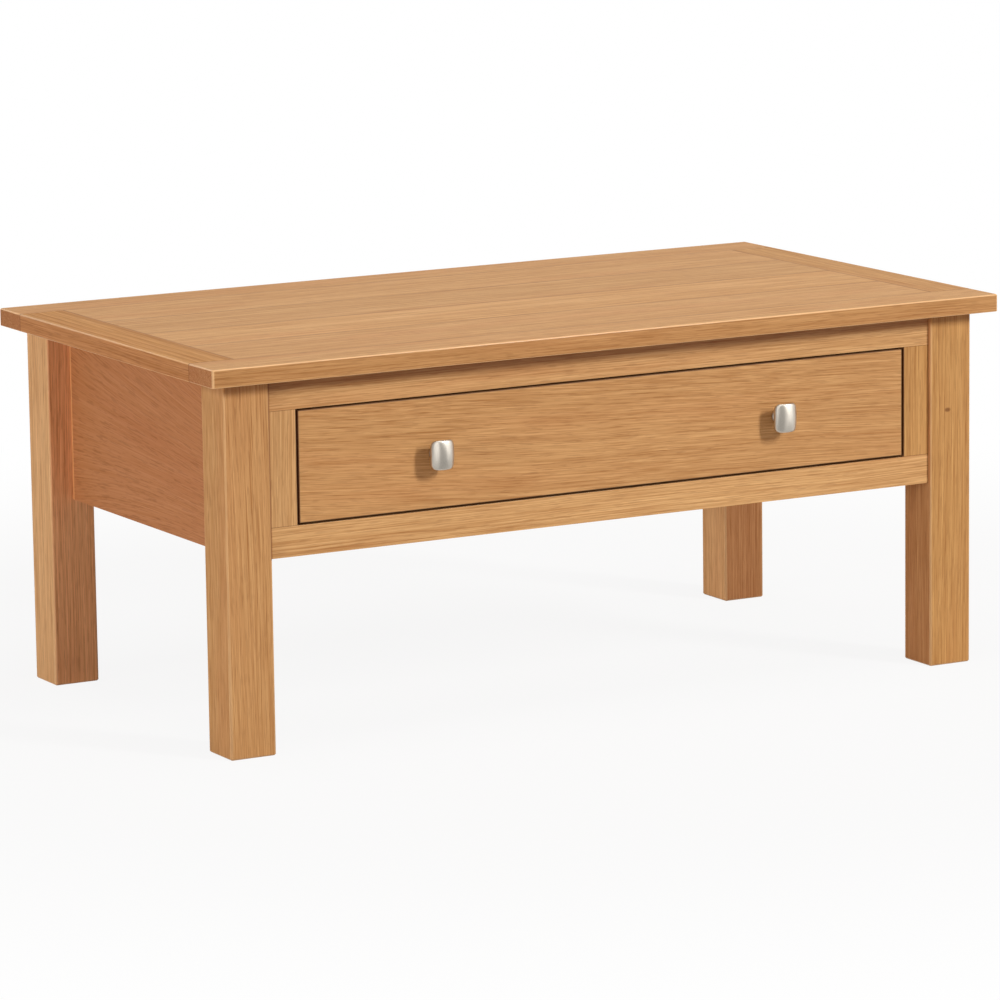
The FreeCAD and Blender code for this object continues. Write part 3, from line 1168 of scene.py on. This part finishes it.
@dataclass
class DrawerGear(Woodwork):
    """What carries, guides and stops the drawer, and the dowels of the stiles."""

    hands: tuple[str, ...] = ("left", "right")
    rails: tuple[str, ...] = ("drawer_runner", "drawer_guide", "drawer_kicker", "runner_packer")
    dowel_seed: float = 109.0
    rail_seed: float = 121.0
    hand_step: float = 10.0
    stop_seed: float = 141.0

    def boards(self) -> Boards:
        """Lists the gear on both sides.

        Returns:
            The finish and the cut of each piece.
        """
        cuts = {"stile_dowels": replace(POST, seed=self.dowel_seed)}
        for number, hand in enumerate(self.hands):
            first = self.rail_seed + self.hand_step * number
            for step, piece in enumerate(self.rails):
                cuts[f"{hand}_{piece}"] = replace(SIDE, seed=first + step)
            cuts[f"{hand}_drawer_stop"] = replace(FRONT, seed=self.stop_seed + number)
        return {node: (PALE_WOOD, cut) for node, cut in cuts.items()}


@dataclass
class Drawer(Woodwork):
    """The drawer: an oak front on a box of paler wood with a plywood bottom."""

    front_cut: Cut = replace(
        FRONT,
        seed=75.0,
        heart_across=-0.05,
        heart_down=0.05,
        taper=0.03,
        wander=0.02,
        tilt=0.05,
        tint=Tint.RUDDY,
        ring_strength=0.25,
        eased=False,
    )

    def boards(self) -> Boards:
        """Lists the boards of the drawer.

        Returns:
            The finish and the cut of each board.
        """
        # Painted shade round the gap, on the drawer front's face and on its edges.
        gap_shades = (
            *pair(Axis.LENGTH, self.joints.drawer_end, Mark.DRAWER_GAP),
            Line(Axis.HEIGHT, self.joints.drawer_foot, Mark.DRAWER_GAP),
            Line(Axis.HEIGHT, self.joints.drawer_top, Mark.DRAWER_GAP),
            self.joints.gap_wall_shade(),
        )
        return {
            "drawer_front": (OAK, replace(self.front_cut, lines=gap_shades)),
            "drawer_left_side": (PALE_WOOD, replace(SIDE, seed=101.0)),
            "drawer_right_side": (PALE_WOOD, replace(SIDE, seed=104.0)),
            "drawer_back": (PALE_WOOD, replace(FRONT, seed=107.0)),
            "drawer_bottom": (PLYWOOD, replace(LONG_TOP, seed=151.0, taper=0.03, wander=0.03)),
        }


@dataclass(frozen=True)
class KnobSection:
    """One section through a knob, more or less parallel to the drawer's face."""

    half_x: float
    half_z: float
    squareness: float
    stand: Callable[[float, float], float]


@dataclass
class Knob:
    """Cushion-shaped knob: a barrel-fronted head on a waisted stem with a round foot.

    Each pair of waist_shares is a share of the way to the head, and a share of the way from the waist's
    radius to the foot's. Each pair of back_shares is a share of the way to the rim, and a share of the
    rim's size.
    """

    node: str
    foot_radius: float = 8.0 * MM
    waist_radius: float = 6.0 * MM
    head_back: float = 11.0 * MM
    barrel_radius: float = 19.0 * MM
    crown_radius: float = 80.0 * MM
    edge_radius: float = 1.6 * MM
    edge_start_share: float = 0.89
    roundness: float = 2.0
    squareness: float = 4.8
    points: int = 64
    waist_shares: tuple[tuple[float, float], ...] = (
        (0.0, 1.0),
        (0.16, 1.0),
        (0.24, 0.3),
        (0.5, 0.0),
        (0.8, 0.2),
    )
    back_shares: tuple[tuple[float, float], ...] = ((0.0, 0.76), (0.25, 0.87), (0.6, 0.955), (0.85, 0.99))
    face_shares: tuple[float, ...] = (1.0, 0.992, 0.975, 0.95, 0.91, 0.85, 0.72, 0.55, 0.36, 0.18)
    middle: Vector = field(init=False)
    half_width: float = field(init=False)
    half_height: float = field(init=False)
    depth: float = field(init=False)

    def __post_init__(self) -> None:
        """Takes the knob's place and size from the frame."""
        low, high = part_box(self.node)
        self.middle = Vector(((low.x + high.x) / 2, high.y, (low.z + high.z) / 2))
        self.half_width = (high.x - low.x) / 2
        self.half_height = (high.z - low.z) / 2
        self.depth = high.y - low.y

    def build(self) -> bpy.types.Object:
        """Builds the knob's mesh where the frame has the knob.

        Returns:
            The knob's object.
        """
        mesh = bmesh.new()
        rings = [self.ring(mesh, section) for section in self.sections()]
        for near, far in zip(rings, rings[1:]):
            for spot in range(self.points):
                after = (spot + 1) % self.points
                mesh.faces.new((near[spot], near[after], far[after], far[spot]))
        mesh.faces.new(rings[0])
        tip = mesh.verts.new(self.spot(0.0, self.depth, 0.0))
        for spot in range(self.points):
            mesh.faces.new((rings[-1][spot], rings[-1][(spot + 1) % self.points], tip))
        bmesh.ops.recalc_face_normals(mesh, faces=mesh.faces)
        data = bpy.data.meshes.new(f"{self.node}_cushion")
        mesh.to_mesh(data)
        mesh.free()
        data.polygons.foreach_set("use_smooth", [True] * len(data.polygons))
        knob = bpy.data.objects.new(f"{self.node}_cushion", data)
        bpy.context.scene.collection.objects.link(knob)
        return knob

    def spot(self, x: float, stand: float, z: float) -> Vector:
        """A place on the knob, from its middle on the drawer's face."""
        return self.middle + Vector((x, -stand, z))

    def sections(self) -> list[KnobSection]:
        """Lists the sections from the foot to the face.

        Returns:
            The sections, in order.
        """
        rows = []
        for depth_share, foot_share in self.waist_shares:
            radius = self.waist_radius + (self.foot_radius - self.waist_radius) * foot_share
            stand = partial(self.stem, self.head_back * depth_share)
            rows.append(KnobSection(radius, radius, self.roundness, stand))
        heads = [(size, partial(self.flare, way, size)) for way, size in self.back_shares]
        heads += [(share, partial(self.face, share)) for share in self.face_shares]
        for size, stand in heads:
            half_x, half_z = self.half_width * size, self.half_height * size
            rows.append(KnobSection(half_x, half_z, self.squareness, stand))
        return rows

    def ring(self, mesh: bmesh.types.BMesh, section: KnobSection) -> list[bmesh.types.BMVert]:
        """Adds one section's points.

        Args:
            mesh: The knob's mesh.
            section: The section's size and place.

        Returns:
            The points, in order.
        """
        verts = []
        power = 2 / section.squareness
        for spot in range(self.points):
            angle = math.tau * spot / self.points
            east, north = math.cos(angle), math.sin(angle)
            x = section.half_x * math.copysign(abs(east) ** power, east)
            z = section.half_z * math.copysign(abs(north) ** power, north)
            verts.append(mesh.verts.new(self.spot(x, section.stand(x, z), z)))
        return verts

    @staticmethod
    def stem(depth: float, x: float, z: float) -> float:
        """Stand-off of a flat section of the stem, which is the same all over."""
        return depth

    def flare(self, way: float, size: float, x: float, z: float) -> float:
        """How far the head's back stands off the drawer, some way to the rim and at its share of size."""
        rim = self.face(1.0, x / size, z / size)
        return self.head_back + (rim - self.head_back) * way

    def face(self, share: float, x: float, z: float) -> float:
        """How far the face stands off the drawer.

        Args:
            share: How far out the place is, from 0 in the middle to 1 at the rim.
            x: Distance from the middle across.
            z: Distance from the middle up.

        Returns:
            The stand-off in metres.
        """
        barrel = self.barrel_radius - math.sqrt(self.barrel_radius**2 - x**2)
        crown = self.crown_radius - math.sqrt(self.crown_radius**2 - z**2)
        over = max(0.0, (share - self.edge_start_share) / (1 - self.edge_start_share))
        edge = self.edge_radius * (1 - math.sqrt(max(0.0, 1 - over**2)))
        return self.depth - barrel - crown - edge

    def dress(self, metal: bpy.types.Material) -> None:
        """Builds the knob, gives it its metal and puts it in the node's place.

        Args:
            metal: The knob's material.
        """
        knob = self.build()
        knob.data.materials.append(metal)
        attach(knob, "drawer")
        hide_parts(self.node)
        LOG.info("%s: cushion head on a waisted stem", knob.name)


@dataclass(frozen=True)
class Screws:
    """The slotted screws of the top, the runners and the knobs."""

    nodes: tuple[str, ...] = ("top_screws", "runner_screws", "knob_screws")

    def dress(self) -> None:
        """Gives the screws their steel."""
        steel = STEEL.material()
        for node in self.nodes:
            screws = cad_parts[node]
            screws.data.materials.clear()
            screws.data.materials.append(steel)
            LOG.info("%s: slotted steel", node)


@dataclass(frozen=True)
class Softbox:
    """A soft white studio lamp, aimed at the table."""

    name: str
    azimuth: float
    elevation: float
    distance: float
    width: float
    height: float
    watts: float
    glints: bool = True
    aim: Place = (0.0, 0.0, 0.25)

    def hang(self) -> None:
        """Adds the lamp."""
        turn, rise = math.radians(self.azimuth), math.radians(self.elevation)
        level = math.cos(rise)
        away = Vector((math.sin(turn) * level, -math.cos(turn) * level, math.sin(rise)))
        data = bpy.data.lights.new(self.name, "AREA")
        data.shape = "RECTANGLE"
        data.size, data.size_y = self.width, self.height
        data.energy = self.watts
        lamp = bpy.data.objects.new(self.name, data)
        lamp.location = Vector(self.aim) + away * self.distance
        lamp.rotation_euler = (-away).to_track_quat("-Z", "Y").to_euler()
        lamp.visible_glossy = self.glints
        bpy.context.scene.collection.objects.link(lamp)


def stage_sheet(name: str, surface: str, corners: tuple[Place, ...]) -> tuple[bpy.types.Object, Bench]:
    """Adds one flat sheet of the studio, with an empty material.

    Args:
        name: The sheet's name.
        surface: Its material's name.
        corners: Its corners, in order.

    Returns:
        The sheet and the bench of its material.
    """
    data = bpy.data.meshes.new(name)
    data.from_pydata(corners, [], [tuple(range(len(corners)))])
    sheet = bpy.data.objects.new(name, data)
    bpy.context.scene.collection.objects.link(sheet)
    made = bpy.data.materials.new(surface)
    made.use_nodes = True
    made.node_tree.nodes.clear()
    data.materials.append(made)
    return sheet, Bench(made.node_tree)


@dataclass(frozen=True)
class Card:
    """A plain card that only shows as a reflection."""

    name: str
    corners: tuple[Place, ...]
    strength: float

    def stand(self) -> None:
        """Adds the card."""
        card, bench = stage_sheet(self.name, self.name, self.corners)
        glow = bench.add("ShaderNodeEmission")
        glow.inputs["Strength"].default_value = self.strength
        bench.feed(bench.add("ShaderNodeOutputMaterial").inputs["Surface"], glow.outputs[0])
        for rays in ("camera", "diffuse", "transmission", "volume_scatter", "shadow"):
            setattr(card, f"visible_{rays}", False)


@dataclass(frozen=True)
class Studio:
    """Pale floor, white surroundings, soft lamps and cards for the knobs to reflect."""

    lamps: tuple[Softbox, ...] = (
        Softbox("key", azimuth=32, elevation=27, distance=9.0, width=1.2, height=2.4, watts=560),
        Softbox(
            "left", azimuth=-79, elevation=3, distance=7.0, width=1.8, height=1.0, watts=225, glints=False
        ),
        Softbox("overhead", azimuth=10, elevation=80, distance=3.6, width=2.6, height=2.0, watts=50),
        Softbox("rear", azimuth=-160, elevation=30, distance=4.0, width=1.8, height=1.0, watts=16),
    )
    cards: tuple[Card, ...] = (
        Card(
            "dark_card",
            ((-0.34, -0.61, 0.02), (0.24, -0.61, 0.02), (0.30, -1.54, 0.75), (-0.50, -1.54, 0.75)),
            strength=0.5,
        ),
        Card(
            "left_card",
            ((-1.28, -1.23, 0.05), (-0.62, -1.75, 0.05), (-0.62, -1.75, 1.3), (-1.28, -1.23, 1.3)),
            strength=1.7,
        ),
        Card(
            "shade_card",
            ((-1.58, 0.0, 0.05), (-1.36, -1.12, 0.05), (-1.36, -1.12, 1.3), (-1.58, 0.0, 1.3)),
            strength=0.55,
        ),
        Card(
            "right_card",
            ((0.75, -1.7, 0.05), (1.7, -0.9, 0.05), (1.7, -0.9, 1.3), (0.75, -1.7, 1.3)),
            strength=1.75,
        ),
        Card(
            "floor_card",
            ((-0.9, -0.95, 0.012), (0.9, -0.95, 0.012), (0.9, -0.36, 0.012), (-0.9, -0.36, 0.012)),
            strength=0.7,
        ),
    )
    ambient: float = 0.25
    ambient_colour: Colour = (1.0, 0.74, 0.62)
    floor_half: float = 40.0
    floor_colour: Colour = (0.6, 0.6, 0.6)
    white_share: float = 0.90
    white_near: float = 0.75
    white_far: float = 1.7

    def build(self) -> None:
        """Sets up the floor, the surroundings, the lamps and the cards."""
        self.lay_floor()
        self.light_surroundings()
        for lamp in self.lamps:
            lamp.hang()
        for card in self.cards:
            card.stand()
        bpy.context.scene.view_settings.view_transform = "Standard"

    @staticmethod
    def seen_directly(bench: Bench) -> Socket:
        """Finds the rays that show the surroundings themselves, straight or in metal and glass.

        Args:
            bench: The bench of the floor or the world.

        Returns:
            The mask of those rays.
        """
        path = bench.add("ShaderNodeLightPath").outputs
        both = bench.sum("MAXIMUM", path["Is Camera Ray"], path["Is Glossy Ray"])
        return bench.sum("MAXIMUM", both, path["Is Transmission Ray"])

    def lay_floor(self) -> None:
        """Lays the floor, which is nearly white and keeps a faint shadow."""
        half = self.floor_half
        corners = ((-half, -half, 0), (half, -half, 0), (half, half, 0), (-half, half, 0))
        floor, bench = stage_sheet("floor", "pale_floor", corners)
        matt = bench.add("ShaderNodeBsdfDiffuse")
        matt.inputs["Color"].default_value = (*self.floor_colour, 1.0)
        white = bench.add("ShaderNodeEmission")
        where = bench.add("ShaderNodeTexCoord").outputs["Object"]
        far = bench.ramp(bench.length(where), self.white_near, self.white_far)
        white_part = bench.sum("MULTIPLY_ADD", far, 1.0 - self.white_share, self.white_share)
        share = bench.sum("MULTIPLY", self.seen_directly(bench), white_part)
        bench.show("ShaderNodeOutputMaterial", share, matt.outputs[0], white.outputs[0])

    def light_surroundings(self) -> None:
        """Gives the world its even light, and white where it is seen directly."""
        world = bpy.data.worlds.new("studio")
        world.use_nodes = True
        bpy.context.scene.world = world
        bench = Bench(world.node_tree)
        world.node_tree.nodes.clear()
        even = bench.add("ShaderNodeBackground")
        even.inputs["Color"].default_value = (*self.ambient_colour, 1.0)
        even.inputs["Strength"].default_value = self.ambient
        white = bench.add("ShaderNodeBackground")
        white.inputs["Color"].default_value = (*WHITE, 1.0)
        share = self.seen_directly(bench)
        bench.show("ShaderNodeOutputWorld", share, even.outputs[0], white.outputs[0])


@dataclass(frozen=True)
class PhotoCamera:
    """The camera at the photograph's viewing angle."""

    place: Place = (-2.9917, -5.3814, 1.3213)
    yaw: float = 0.5071
    pitch: float = 0.1803
    roll: float = -0.0134
    lens: float = 195.9
    sensor: float = 36.0
    reach: float = 200.0

    def set_up(self) -> None:
        """Adds the camera and makes it the scene's own."""
        data = bpy.data.cameras.new("photo_camera")
        data.sensor_width = self.sensor
        data.lens = self.lens
        data.clip_end = self.reach
        camera = bpy.data.objects.new("photo_camera", data)
        turn = Matrix.Rotation(-self.yaw, 4, "Z")
        tip = Matrix.Rotation(math.pi / 2 - self.pitch, 4, "X")
        lean = Matrix.Rotation(self.roll, 4, "Z")
        camera.matrix_world = Matrix.Translation(self.place) @ turn @ tip @ lean
        bpy.context.scene.collection.objects.link(camera)
        bpy.context.scene.camera = camera


def main() -> None:
    """Dresses the table and sets up the studio."""
    logging.basicConfig(level=logging.INFO, format="%(message)s")
    effects = Effects()
    for work in (TableTop(), Legs(), FrontFrame(), Panels(), DrawerGear(), Drawer()):
        work.dress(effects)
    nickel = NICKEL.material()
    for node in ("left_knob", "right_knob"):
        Knob(node).dress(nickel)
    Screws().dress()
    Studio().build()
    PhotoCamera().set_up()


if __name__ == "__main__":
    main()
